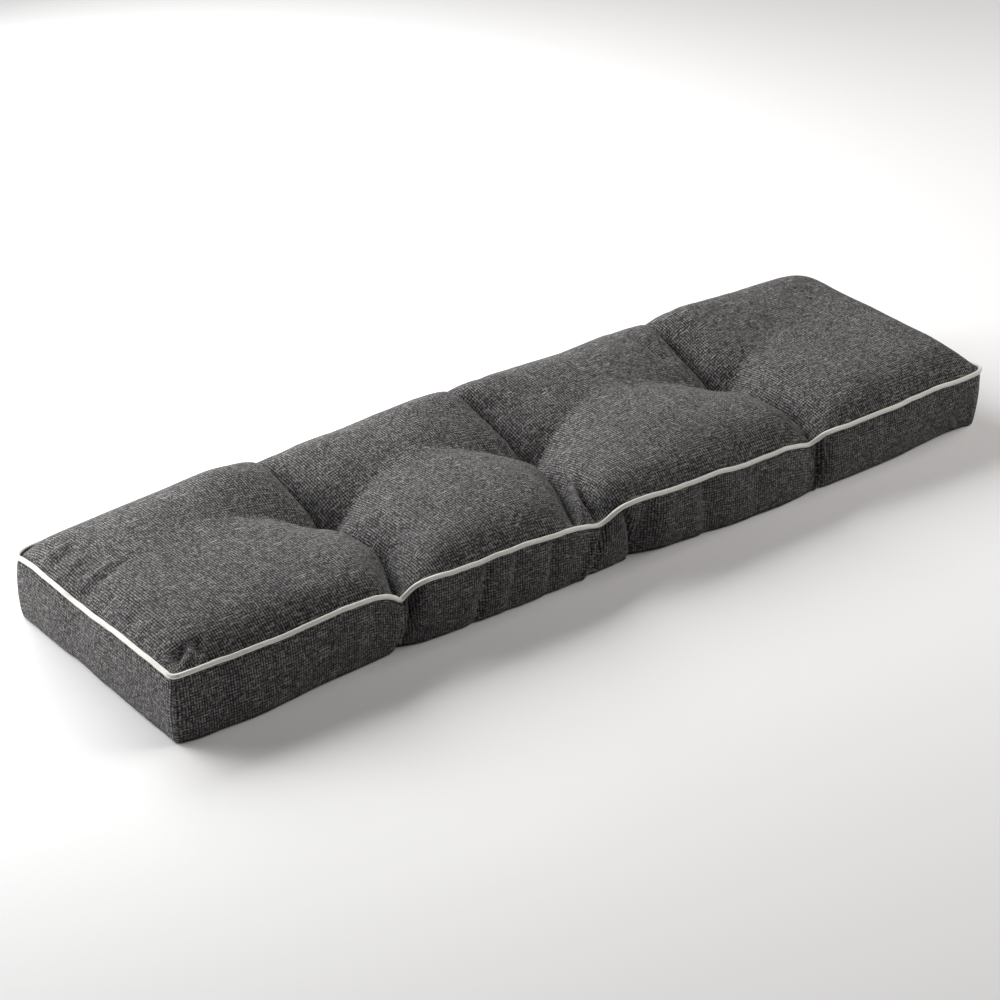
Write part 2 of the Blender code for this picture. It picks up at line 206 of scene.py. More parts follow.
def depression(x, y):
    """How far tufts, creases and the long valley pull the top panel down."""
    p, total = 3.0, np.zeros_like(x)
    for c in CREASES:
        tx, ty = c["tuft"]
        s = x-curve(y, c["rows"], 1)
        deep, wl, wr = curve(y, c["rows"], 2), curve(y, c["rows"], 3), curve(y, c["rows"], 4)
        sm = np.sqrt(s*s+0.6)
        left = 1.0+0.35/(1.0+np.exp((y+120.0)/14.0))
        total += (deep*np.where(s < 0, np.exp(-(sm/wl)**left), np.exp(-(sm/wr)**1.0)))**p
        rx = np.where(x < tx, (x-tx)/38.0, (x-tx)/46.0)
        ry = np.where(y < ty, (y-ty)/34.0, (y-ty)/35.0)
        total += (47.0*np.exp(-np.sqrt(rx*rx+ry*ry+0.001)**1.1))**p
    near = np.exp(-(near_tuft(x)/82.0)**1.4)
    deep = (1.0+36.0*near**1.3)*step(x+HALF_L, 110.0, 1.6)*step(HALF_L-x, 110.0, 1.6)
    t = y-valley_y(x)
    sm = np.sqrt(t*t+1.5+70.0*(1.0-near)**2)
    width = np.where(t < 0, 30.0-10.0*near, 30.0-2.0*near)
    total += (deep*np.exp(-(sm/width)**(1.9-0.85*near**0.6)))**p
    return total**(1.0/p)


LOFT = [
 # x,    y,  rise, rx, ry : where the filling stands higher or lower
 (-450, -60,  3.0,  90, 60),
 (-440,  85,  8.0,  90, 60),
 (-340, 120,  8.0,  50, 48),
 (-370, 130,  7.5,  85, 52),
 ( -40, 136,  9.0, 120, 52),
 ( 350, 136,  9.0,  90, 52),
 ( 490, 130,  3.5,  65, 50),
 (  45, 130,  2.5,  40, 45),
 ( 255, 130,  3.0,  45, 45),
 ( 575,   0,  6.0,  40, 100),
 (-588, 150,  8.0,  34, 34),
 (-150, -60,  4.0,  80, 55),
 (-110,  95,  8.5,  80, 60),
 (-225, 120,  5.0,  40, 50),
 ( 140, -60,  4.0,  90, 55),
 ( -15, 140,  6.0,  55, 45),
 ( 110, 114,  9.5,  65, 55),
 ( 225, 112,  9.0,  60, 60),
 ( 430, -60,  1.0,  90, 60),
 ( 335, 140,  8.5,  50, 45),
 ( 430, 104,  8.5,  90, 60),
 ( 570, -110,  3.0,  50, 40),
 ( 545, 125,  6.5,  50, 45),
]

def top_z(x, y):
    df, db, dl, dr = y+HALF_W, HALF_W-y, x+HALF_L, HALF_L-x
    zs = SEAM_Z + (curve(x, FRONT, 1)-SEAM_Z)*np.exp(-np.maximum(df, 0)/30.0) \
                + (curve(x, BACK, 1)-SEAM_Z)*np.exp(-np.maximum(db, 0)/40.0) \
                + (curve(y, LEFT, 1)-SEAM_Z)*np.exp(-np.maximum(dl, 0)/30.0) \
                + (curve(y, RIGHT, 1)-SEAM_Z)*np.exp(-np.maximum(dr, 0)/30.0)
    E = step(df-2.8, 22.0)*step(db-2.8, 17.0)*step(dl-2.8, 28.0)*step(dr-2.8, 14.0)
    z = zs+1.6+CROWN*E-6.0*E*np.exp(-(np.maximum(db-2.8, 0)/30.0)**1.4)
    for cx, cy, h, rx, ry in LOFT:
        z = z+h*np.exp(-((x-cx)/rx)**2-((y-cy)/ry)**2)*E
    edge = step(df-2.8, 14.0)*step(db-2.8, 16.0)*step(dl-2.8, 20)*step(dr-2.8, 20)
    return z-depression(x, y)*edge

def corner_radius(x, y):
    return np.where(x < 0, np.where(y < 0, CORNER['front_left'], CORNER['back_left']),
                    np.where(y < 0, CORNER['front_right'], CORNER['back_right']))

def rounded(px, py, hl, hw):
    """Moves points of the sharp rectangle onto the rounded one; inner rings keep less of the radius."""
    ax, ay = np.abs(px), np.abs(py)
    d = np.minimum(hl-ax, hw-ay)
    a, b = hl-d, hw-d
    R = np.maximum(corner_radius(px, py)-0.30*d, 0.0)
    onx = (hl-ax) <= (hw-ay)
    with np.errstate(divide='ignore', invalid='ignore'):
        q = np.where(onx, (b-ay)/R, (a-ax)/R)
    near = (R > 1e-6) & (q < 1)
    q = np.clip(np.where(near, q, 1.0), 0, 1)
    th = np.radians(45.0)*(1-q)
    cx = np.where(onx, a-R+R*np.cos(th), a-R+R*np.sin(th))
    cy = np.where(onx, b-R+R*np.sin(th), b-R+R*np.cos(th))
    return np.where(near, np.sign(px)*cx, px), np.where(near, np.sign(py)*cy, py)

def inset(x, y):
    """Draws the rounded rectangle in at the creases."""
    fi, bi = curve(x, FRONT, 2), curve(x, BACK, 2)
    li, ri = curve(y, LEFT, 2), curve(y, RIGHT, 2)
    wf = np.clip((HALF_W-y)/(2*HALF_W), 0, 1)**1.5; wb = np.clip((HALF_W+y)/(2*HALF_W), 0, 1)**1.5
    wl = np.clip((HALF_L-x)/(2*HALF_L), 0, 1)**3; wr = np.clip((HALF_L+x)/(2*HALF_L), 0, 1)**3
    return x+li*wl-ri*wr, y+fi*wf-bi*wb

def seam_height(x, y):
    df, db, dl, dr = y+HALF_W, HALF_W-y, x+HALF_L, HALF_L-x
    f, b, l, r = curve(x, FRONT, 1), curve(x, BACK, 1), curve(y, LEFT, 1), curve(y, RIGHT, 1)
    w = [np.exp(-np.maximum(v, 0)/8.0) for v in (df, db, dl, dr)]
    return (w[0]*f+w[1]*b+w[2]*l+w[3]*r)/(w[0]+w[1]+w[2]+w[3])

def foot_out(x, y):
    df, db, dl, dr = y+HALF_W, HALF_W-y, x+HALF_L, HALF_L-x
    f, b, l, r = curve(x, FRONT, 3), curve(x, BACK, 3), curve(y, LEFT, 3), curve(y, RIGHT, 3)
    w = [np.exp(-np.maximum(v, 0)/8.0) for v in (df, db, dl, dr)]
    return (w[0]*f+w[1]*b+w[2]*l+w[3]*r)/(w[0]+w[1]+w[2]+w[3])

def loop_of(xs, ys, hl, hw):
    """Perimeter of the grid, anticlockwise from front left."""
    n, m = len(xs), len(ys)
    fx, bx = follow(xs, np.full(n, -hw)), follow(xs, np.full(n, hw))
    P = [(fx[i], -hw) for i in range(n)] + [(hl, ys[j]) for j in range(1, m)] + \
        [(bx[i], hw) for i in range(n-2, -1, -1)] + [(-hl, ys[j]) for j in range(m-2, 0, -1)]
    P = np.array(P, float)
    return P[:, 0], P[:, 1]

def outline(px, py):
    """Seam line (cord centre) and outward normals for perimeter stations."""
    X, Y = rounded(px, py, HALF_L, HALF_W)
    Z = seam_height(X, Y)
    X2, Y2 = inset(X, Y)
    T = np.stack([np.roll(X2, -1)-np.roll(X2, 1), np.roll(Y2, -1)-np.roll(Y2, 1)], -1)
    T /= np.linalg.norm(T, axis=1)[:, None]
    N = np.stack([T[:, 1], -T[:, 0]], -1)
    return X, Y, X2, Y2, Z, N


# ---------------------------------------------------------------- grid and edge loop
def stations(half, coarse, end_fine, spots):
    """Rows of the grid from -half to half: close at the ends and at the spots (centre, reach, spacing), wider between."""
    x, rows = -half, [-half]
    while x < half-1e-6:
        h = min(coarse, end_fine+min(x+half, half-x)*0.30)
        for centre, reach, fine in spots:
            near = abs(x+0.5*h-centre)/reach
            if near < 1.0:
                h = min(h, fine+(coarse-fine)*near**2)
        x += h
        rows.append(x)
    rows = np.array(rows)
    return -half+(rows+half)*(2*half)/(rows[-1]+half)


XS = stations(HALF_L, 4.4, 1.3, [(-292.0, 64.0, 2.2), (-292.0, 34.0, 1.0), (-12.0, 64.0, 2.2), (-12.0, 34.0, 1.0), (46.0, 32.0, 1.4),
                                 (308.0, 64.0, 2.2), (308.0, 34.0, 1.0)])
YS = stations(HALF_W, 3.8, 1.3, [(0.0, 60.0, 2.2)])
NX, NY = len(XS), len(YS)
EDGE_X, EDGE_Y = loop_of(XS, YS, HALF_L, HALF_W)
LOOP = len(EDGE_X)
SIDE = np.array([0]*NX+[1]*(NY-1)+[2]*(NX-1)+[3]*(NY-2))      # front, right, back, left
IDX = -np.ones((NX, NY), int)
IDX[:, 0] = np.arange(NX)
IDX[-1, :] = NX-1+np.arange(NY)
IDX[:, -1] = NX-1+NY-1+(NX-1-np.arange(NX))
IDX[0, 1:-1] = 2*(NX-1)+NY-1+(NY-1-np.arange(1, NY-1))


RNG = np.random.default_rng(20240611)
LATTICE = RNG.uniform(-1.0, 1.0, (64, 64))


def soft_noise(u, v, seed=0):
    """Smooth value noise on a wrapped lattice, -1 to 1."""
    u, v = u+seed*7.31, v+seed*3.77
    iu, iv = np.floor(u).astype(int), np.floor(v).astype(int)
    fu, fv = u-iu, v-iv
    fu, fv = fu*fu*(3-2*fu), fv*fv*(3-2*fv)
    g = lambda a, b: LATTICE[a % 64, b % 64]
    return (g(iu, iv)*(1-fu)+g(iu+1, iv)*fu)*(1-fv)+(g(iu, iv+1)*(1-fu)+g(iu+1, iv+1)*fu)*fv


def frames(px, py):
    """Cord centre line with its outward and upward directions at the stations of the edge."""
    X, Y, X2, Y2, Z, N2 = outline(px, py)
    P = np.stack([X2, Y2, Z], -1)
    # the sewn cord is never quite straight
    P[:, 2] += 0.55*soft_noise(px/21.0, py/21.0, 8)+0.3*soft_noise(px/9.0, py/9.0, 9)
    P[:, :2] += N2*(0.5*soft_noise(px/26.0, py/26.0, 10))[:, None]
    T = np.roll(P, -1, axis=0)-np.roll(P, 1, axis=0)
    T /= np.linalg.norm(T, axis=1)[:, None]
    N = np.stack([N2[:, 0], N2[:, 1], np.zeros(len(N2))], -1)
    U = np.cross(N, T)
    U /= np.linalg.norm(U, axis=1)[:, None]
    return X, Y, P, N, U


# ---------------------------------------------------------------- folds of the top panel
TOP_FOLDS = [
 # path (x, y) x3, front to back or left to right,   depth, width one side, width other side
 (((-24, -170), (-20, -136), (-3, -92)),         20.0, 3.5, 11.0),
 (((-44, -166), (-33, -136), (-16, -100)),       -9.0, 6.5,  5.5),
 (((-54, -168), (-40, -142), (-26, -116)),        2.5, 2.5,  4.0),
 (((264, 62), (258, 102), (246, 152)),            8.0, 4.0, 12.0),
 (((-576, -146), (-590, -154), (-603, -159)),     8.0, 4.0,  6.0),
 (((-559, -146), (-566, -160), (-569, -171)),     7.0, 4.0,  6.0),
 (((-573, -154), (-582, -163), (-591, -169)),    -4.0, 5.0,  5.0),
 (((-604, 38), (-575, 38), (-532, 39)),          -2.4, 7.0,  9.0),
 (((-604, 23), (-565, 25), (-500, 31)),           3.0, 9.0,  9.0),
 (((-602, 113), (-584, 112), (-560, 110)),       -2.6, 5.0,  6.0),
 (((-602, 98), (-586, 97), (-560, 96)),           2.6, 5.0,  6.0),
 (((-603, 72), (-586, 74), (-556, 78)),          -2.4, 5.0,  7.0),
 (((-604, -69), (-590, -64), (-570, -58)),        3.2, 6.0,  7.0),
 (((-604, -88), (-588, -86), (-566, -84)),       -2.6, 6.0,  7.0),
 (((-345, 150), (-330, 118), (-322, 80)),         1.6, 9.0, 16.0),
 (((-250, 150), (-264, 118), (-274, 84)),         1.8, 9.0, 16.0),
 (((40, 150), (32, 118), (22, 84)),               1.6, 9.0, 16.0),
 (((350, 150), (340, 118), (330, 84)),            1.6, 9.0, 16.0),
 (((-272, -160), (-270, -138), (-264, -112)),     1.8, 7.0, 12.0),
 (((334, -162), (340, -140), (344, -112)),        2.0, 6.0, 12.0),
]


def fold_field(u, v, rows):
    """Depth of a set of folds; each is a smooth path of three points that fades at both ends."""
    total = np.zeros_like(u)
    for path, depth, wa, wb in rows:
        p0, p1, p2 = (np.array(p, float) for p in path)
        best = np.full(u.shape, 1e9)
        side = np.zeros_like(u)
        along = np.zeros_like(u)
        lens = (np.linalg.norm(p1-p0), np.linalg.norm(p2-p1))
        for a, b, start, length in ((p0, p1, 0.0, lens[0]), (p1, p2, lens[0], lens[1])):
            d = (b-a)/length
            t = (u-a[0])*d[0]+(v-a[1])*d[1]
            tc = np.clip(t, 0, length)
            dx, dy = u-(a[0]+tc*d[0]), v-(a[1]+tc*d[1])
            r = np.hypot(dx, dy)
            nearer = r < best
            best = np.where(nearer, r, best)
            side = np.where(nearer, dx*d[1]-dy*d[0], side)
            along = np.where(nearer, (start+t)/(lens[0]+lens[1]), along)
        w = np.where(side < 0, wa, wb)
        fade = np.clip((along+0.25)/0.25, 0, 1)*np.clip((1.15-along)/0.65, 0, 1)**1.5
        total += depth*fade*np.exp(-(np.sqrt(best*best+0.4)/w)**1.5)
    return total


CREVICES = [
 # crease, y: from, deepest, to,     depth, width left, width right : where the cloth closes on itself along the crease
 (0, -176.0, -120.0, -10.0,  11.0, 1.6, 5.0),
 (0, -176.0, -150.0, -70.0,  20.0, 1.0, 14.0),
 (0,   -5.0,   50.0, 150.0,  12.0, 1.6, 7.0),
 (1, -176.0, -125.0, -20.0,  14.0, 1.6, 5.0),
 (1,   -5.0,   50.0, 162.0,  13.0, 1.6, 7.0),
 (2, -176.0, -130.0, -20.0,   8.0, 1.6, 5.0),
 (2, -176.0, -145.0, -95.0,   4.0, 1.0, 8.0),
 (2,   -5.0,   50.0, 162.0,  13.0, 1.6, 7.0),
]


def crevices(x, y):
    total = np.zeros_like(x)
    for c, y0, y1, y2, depth, wl, wr in CREVICES:
        s = x-curve(y, CREASES[c]["rows"], 1)
        part = np.where(y < y1, (y1-y)/(y1-y0), (y-y1)/(y2-y1))
        total += depth*np.clip(1-part**2, 0, 1)**0.8*np.exp(-np.sqrt(s*s+0.1)/np.where(s < 0, wl, wr))
    return total


# ---------------------------------------------------------------- folds of the boxing
# t is 0 at the cord and 1 at the bottom seam; a is the place along that side
BOX_FOLDS = [
 # side, a at t 0, 0.5, 1,      depth at t 0, 0.5, 1,   width low side, high side, sharpness
 (0, (-298, -298, -308),   (9.0, 9.0, 2.5),      1.5,  8.0, 1.2),
 (0, (-291, -294, -300),  (17.0, 2.0, 0.0),      5.0,  6.5, 2.0),
 (0, (-312, -314, -322),   (-2.5, -3.5, -1.0),   9.0,  8.0, 2.0),
 (0, (-345, -352, -362),   (1.6, 2.0, 0.6),      7.0, 10.0, 1.6),
 (0, (-190, -197, -208),   (4.0, 8.0, 3.0),      5.0, 15.0, 1.5),
 (0, (-182, -187, -196),   (-1.5, -2.2, -1.0),   5.0,  6.0, 1.8),
 (0, (-150, -154, -160),   (3.0, 5.0, 1.6),      5.0, 12.0, 1.6),
 (0, ( -95,  -97, -103),   (4.0, 6.4, 2.2),      5.0, 14.0, 1.5),
 (0, ( -26,  -36,  -46),   (-4.0, -5.5, -2.5),   6.0,  6.0, 1.8),
 (0, ( -14,  -23,  -32),   (6.0, 7.0, 2.5),      6.0,  3.5, 1.3),
 (0, (   8,   21,   26),  (10.0, 19.0, 7.0),     1.6,  5.0, 1.1),
 (0, (  35,   31,   29),   (-1.0, -3.0, -1.0),   2.5,  2.5, 2.0),
 (0, (  38,   34,   31),   (6.0, 15.0, 6.0),     1.8, 14.0, 1.1),
 (0, (  52,   47,   40),   (5.0, 6.0, 2.0),      3.0, 12.0, 1.2),
 (0, (  70,   72,   74),   (-1.5, -3.0, -1.0),  12.0, 12.0, 2.0),
 (0, ( 131,  134,  138),   (4.0, 7.0, 2.5),      5.0, 14.0, 1.5),
 (0, ( 210,  212,  214),   (1.8, 3.0, 1.0),      5.0, 14.0, 1.3),
 (0, ( 318,  320,  316),   (7.0, 7.0, 3.0),      6.0,  4.0, 1.3),
 (0, ( 326,  327,  318),   (-1.0, -4.0, -2.0),   3.0,  2.5, 2.0),
 (0, ( 331,  332,  322),   (4.0, 10.0, 3.5),     1.8,  8.0, 1.2),
 (0, ( 430,  432,  436),   (1.6, 2.6, 1.0),      5.0, 16.0, 1.3),
 (2, (-292, -290, -286),   (3.0, 5.0, 3.5),      9.0, 13.0, 1.2),
 (2, (  -5,   -8,  -10),   (3.0, 5.0, 3.5),     12.0,  8.0, 1.2),
 (2, ( 306,  309,  312),   (3.0, 5.5, 3.5),      8.0, 14.0, 1.2),
 (2, (-330, -335, -342),   (1.0, 1.5, 0.5),     10.0, 10.0, 1.6),
 (2, (  28,   32,   36),   (1.0, 1.5, 0.5),     10.0, 10.0, 1.6),
 (2, ( 272,  268,  262),   (1.0, 1.5, 0.5),     10.0, 10.0, 1.6),
 (2, (-150, -152, -156),   (0.8, 1.0, 0.5),     14.0, 16.0, 1.8),
 (2, ( 150,  152,  156),   (0.8, 1.0, 0.5),     14.0, 16.0, 1.8),
 (3, (  30,   26,   20),   (1.2, 1.0, 0.2),     12.0, 12.0, 1.8),
 (1, ( -20,  -22,  -26),   (1.0, 1.0, 0.2),     12.0, 12.0, 1.8),
]


def three(t, rows):
    """Smooth value through three stations at t = 0, 0.5 and 1."""
    a, b, c = rows
    return a*(1-t)*(1-2*t)+4*b*t*(1-t)+c*t*(2*t-1)


def box_depth(side, a, t):
    d = np.zeros_like(a)
    for s, line, deep, wl, wh, sharp in BOX_FOLDS:
        x = a-three(t, line)
        w = np.where(x < 0, wl, wh)
        d += np.where(side == s, three(t, deep)*np.exp(-(np.sqrt(x*x+0.3)/w)**sharp), 0.0)
    return d


# ---------------------------------------------------------------- the cover
def cover_mesh():
    """Closed mesh of the filled cover: top panel, boxing and bottom panel, with a map of the cloth in metres."""
    X, Y, P, N, U = frames(EDGE_X, EDGE_Y)
    foot = foot_out(X, Y)
    along = np.where((SIDE == 0) | (SIDE == 2), EDGE_X, EDGE_Y)
    run = np.concatenate([[0.0], np.cumsum(np.linalg.norm(np.diff(P[:, :2], axis=0), axis=1))])
    total_run = run[-1]+np.linalg.norm(P[-1, :2]-P[0, :2])
    rings, vmap = [], []

    # the cloth tucks in behind the cord
    for deg in (146.0, 163.0, 180.0, 197.0, 214.0, 232.0, 250.0):
        a = math.radians(deg)
        r = CORD_R+0.35
        rings.append(P+N*(r*math.cos(a))+U*(r*math.sin(a)))
    low = rings[-1]
    drop = low[:, 2]-3.2
    ts = [0.02, 0.05, 0.09, 0.14, 0.19, 0.24, 0.29, 0.34, 0.39, 0.44, 0.49, 0.54, 0.59, 0.64, 0.69, 0.74, 0.79, 0.84, 0.89, 0.94, 0.98, 1.0]
    for t in ts:
        tt = np.full(LOOP, t)
        bulge = 3.0*math.sin(math.pi*t)**0.7
        edge = min(1.0, t/0.06)
        swell = bulge+1.0*edge*(1-t)
        out = (foot+0.8)*t+swell-box_depth(SIDE, along, tt)*edge
        out = out+0.5*soft_noise(run/34.0, tt*2.3, 1)*edge*(1-t)+0.22*soft_noise(run/11.0, tt*5.0, 2)*edge*(1-t)
        corner = (np.abs(EDGE_X+HALF_L) < 1e-6) & (np.abs(EDGE_Y+HALF_W) < 1e-6)
        out = np.where(corner, out-0.8, out)                       # seam that closes the boxing
        Q = low+N*out[:, None]
        Q[:, 2] = low[:, 2]-drop*t
        square = 0.8*min(1.0, t/0.12)*((EDGE_X < 0) & (EDGE_Y < 0))   # the boxing keeps its corner below the rounded cord
        Q[:, 0] += square*(EDGE_X-X)
        Q[:, 1] += square*(EDGE_Y-Y)
        rings.append(Q)
    foot_ring = rings[-1].copy()
    for out, z in ((-0.9, 2.4), (-1.0, 1.9), (-0.5, 1.3), (-1.3, 0.5), (-3.0, 0.1), (-5.5, 0.0)):
        Q = foot_ring+N*out
        Q[:, 2] = z
        rings.append(Q)

    # top panel inside the first ring
    GX, GY = np.meshgrid(XS, YS, indexing="ij")
    RX, RY = rounded(follow(GX, GY), GY, HALF_L, HALF_W)
    # the rows next to the cord start behind it
    RX = RX+2.9*np.exp(-(RX+HALF_L)/6.0)-2.9*np.exp(-(HALF_L-RX)/6.0)
    RY = RY+2.9*np.exp(-(RY+HALF_W)/6.0)-2.9*np.exp(-(HALF_W-RY)/6.0)
    TZ = top_z(RX, RY)
    TX, TY = inset(RX, RY)
    df = np.minimum.reduce([RX+HALF_L, HALF_L-RX, RY+HALF_W, HALF_W-RY])
    calm = 1-np.exp(-np.maximum(df-2.5, 0)/7.0)
    TZ = TZ-(fold_field(TX, TY, TOP_FOLDS)+crevices(RX, RY))*calm
    TZ = TZ+(0.55*soft_noise(TX/42.0, TY/36.0, 3)+0.28*soft_noise(TX/16.0, TY/15.0, 4)+0.12*soft_noise(TX/7.0, TY/7.0, 5))*calm
    inner = [(i, j) for i in range(1, NX-1) for j in range(1, NY-1)]
    verts = np.concatenate(rings+[np.stack([TX[1:-1, 1:-1], TY[1:-1, 1:-1], TZ[1:-1, 1:-1]], -1).reshape(-1, 3)])
    top = IDX.copy()
    top[1:-1, 1:-1] = len(rings)*LOOP+np.arange((NX-2)*(NY-2)).reshape(NX-2, NY-2)

    quads, uvs = [], []
    k = np.arange(LOOP)
    k2 = (k+1) % LOOP
    run2 = np.where(k2 == 0, total_run, run[k2])
    depth = [np.zeros(LOOP)]
    for a, b in zip(rings[:-1], rings[1:]):
        depth.append(depth[-1]+np.linalg.norm(b-a, axis=1))
    for r in range(len(rings)-1):
        quads.append(np.stack([r*LOOP+k, (r+1)*LOOP+k, (r+1)*LOOP+k2, r*LOOP+k2], -1))
        uvs.append(np.stack([np.stack([run, -depth[r]-700], -1), np.stack([run, -depth[r+1]-700], -1),
                             np.stack([run2, -depth[r+1][k2]-700], -1), np.stack([run2, -depth[r][k2]-700], -1)], 1))
    # the weave of the top follows its slope across the cushion
    pts = np.zeros((NX, NY, 3))
    pts[:, :, :] = verts[top]
    step_y = np.linalg.norm(np.diff(pts[:, :, 1:], axis=1), axis=2)
    V = np.concatenate([np.zeros((NX, 1)), np.cumsum(step_y, axis=1)], axis=1)
    V = V-V[:, NY//2][:, None]
    V = 0.5*V+0.5*pts[:, :, 1]
    # across it the weave is measured from the middle of each cushioned field; two fields meet in the crease
    step_x = np.linalg.norm(np.diff(pts[:, :, ::2], axis=0), axis=2)
    arc = np.concatenate([np.zeros((1, NY)), np.cumsum(step_x, axis=0)], axis=0)
    cuts = [0]+[int(np.argmin(np.abs(XS-mid))) for mid in CREASE_MID]+[NX-1]
    Uc = np.zeros((NX-1, 2, NY))
    for first_, last_ in zip(cuts[:-1], cuts[1:]):
        mid = (first_+last_)//2
        own = pts[mid, :, 0]+arc-arc[mid]
        Uc[first_:last_, 0] = own[first_:last_]
        Uc[first_:last_, 1] = own[first_+1:last_+1]
    c = [(slice(0, -1), slice(0, -1)), (slice(1, None), slice(0, -1)), (slice(1, None), slice(1, None)), (slice(0, -1), slice(1, None))]
    quads.append(np.stack([top[s] for s in c], -1).reshape(-1, 4))
    us = [Uc[:, 0, :-1], Uc[:, 1, :-1], Uc[:, 1, 1:], Uc[:, 0, 1:]]
    uvs.append(np.stack([np.stack([a, V[s]], -1) for a, s in zip(us, c)], 2).reshape(-1, 4, 2))
    quads = np.concatenate(quads)
    uvs = np.concatenate(uvs)

    # bottom panel: flat, with the three tufts drawn up into it
    edge = [Vector((float(p[0]), float(p[1]))) for p in rings[-1]]
    pts2, gx = list(edge), np.arange(-HALF_L+14, HALF_L-13, 14.0)
    extra = [(x, y) for x in gx for y in np.arange(-HALF_W+16, HALF_W-15, 14.0)]
    for cx, cy in TUFTS_BELOW:
        extra = [(x, y) for x, y in extra if math.hypot(x-cx, y-cy) > 33]
        for r in (2.5, 6, 10, 15, 20, 26, 33):
            n = 8 if r < 4 else 20
            extra += [(cx+r*math.cos(2*math.pi*(q+0.5)/n), cy+r*math.sin(2*math.pi*(q+0.5)/n)) for q in range(n)]
        extra.append((cx, cy))
    pts2 += [Vector((float(x), float(y))) for x, y in extra]
    out = geometry.delaunay_2d_cdt(pts2, [], [list(range(LOOP))], 2, 1e-6)
    base = (len(rings)-1)*LOOP
    first = len(verts)
    new, where = [], {}
    for q, orig in enumerate(out[3]):
        if orig and min(orig) < LOOP:
            where[q] = base+min(orig)
        else:
            p = out[0][q]
            z = 0.0
            for cx, cy in TUFTS_BELOW:
                z = max(z, 9.0*math.exp(-(math.hypot(p[0]-cx, p[1]-cy)/14.0)**1.5)-0.35)
            where[q] = first+len(new)
            new.append((p[0], p[1], max(z, 0.0)))
    tris = [tuple(where[q] for q in reversed(f)) for f in out[2]]
    tris = [f for f in tris if len(set(f)) == 3]
    verts = np.concatenate([verts, np.array(new)])

    mesh = bpy.data.meshes.new("cushion_cover")
    faces = quads.tolist()+[list(f) for f in tris]
    mesh.from_pydata((verts*MM).tolist(), [], faces)
    layer = mesh.uv_layers.new(name="cloth")
    flat = np.concatenate([uvs.reshape(-1, 2), np.array([(verts[q][0]+40.0, verts[q][1]+1300.0) for f in tris for q in f])])*MM
    layer.data.foreach_set("uv", flat.astype(np.float32).ravel())
    mesh.polygons.foreach_set("use_smooth", [True]*len(mesh.polygons))
    mesh.update()
    obj = bpy.data.objects.new("cushion_cover", mesh)
    bpy.context.scene.collection.objects.link(obj)
    return obj


TUFTS_BELOW = [(-302.0, -2.0), (1.0, -2.0), (304.0, -2.0)]


# ---------------------------------------------------------------- the piping
def piping_mesh():
    """Round cord in its bias-cut cover, one closed ring."""
    X, Y, P, N, U = frames(EDGE_X, EDGE_Y)
    sides = 18
    run = np.concatenate([[0.0], np.cumsum(np.linalg.norm(np.diff(P, axis=0), axis=1))])
    total = run[-1]+np.linalg.norm(P[-1]-P[0])
    verts = []
    for s in range(sides):
        a = 2*math.pi*s/sides
        wobble = 0.10*soft_noise(run/9.0, np.full(LOOP, s*6.0/sides), 6)+0.06*soft_noise(run/3.5, np.full(LOOP, s*12.0/sides), 7)
        r = CORD_R-0.12+wobble
        verts.append(P+N*(r*math.cos(a))[:, None]+U*(r*math.sin(a))[:, None])
    verts = np.concatenate(verts)
    quads, uvs = [], []
    k = np.arange(LOOP)
    k2 = (k+1) % LOOP
    run2 = np.where(k2 == 0, total, run[k2])
    girth = 2*math.pi*CORD_R
    for s in range(sides):
        s2 = (s+1) % sides
        quads.append(np.stack([s*LOOP+k, s*LOOP+k2, s2*LOOP+k2, s2*LOOP+k], -1))
        g0, g1 = girth*s/sides, girth*(s+1)/sides
        uvs.append(np.stack([np.stack([run, np.full(LOOP, g0)], -1), np.stack([run2, np.full(LOOP, g0)], -1),
                             np.stack([run2, np.full(LOOP, g1)], -1), np.stack([run, np.full(LOOP, g1)], -1)], 1))
    mesh = bpy.data.meshes.new("piping_cord")
    mesh.from_pydata((verts*MM).tolist(), [], np.concatenate(quads).tolist())
    layer = mesh.uv_layers.new(name="cloth")
    layer.data.foreach_set("uv", (np.concatenate(uvs).reshape(-1, 2)*MM).astype(np.float32).ravel())
    mesh.polygons.foreach_set("use_smooth", [True]*len(mesh.polygons))
    mesh.update()
    obj = bpy.data.objects.new("piping_cord", mesh)
    bpy.context.scene.collection.objects.link(obj)
    return obj


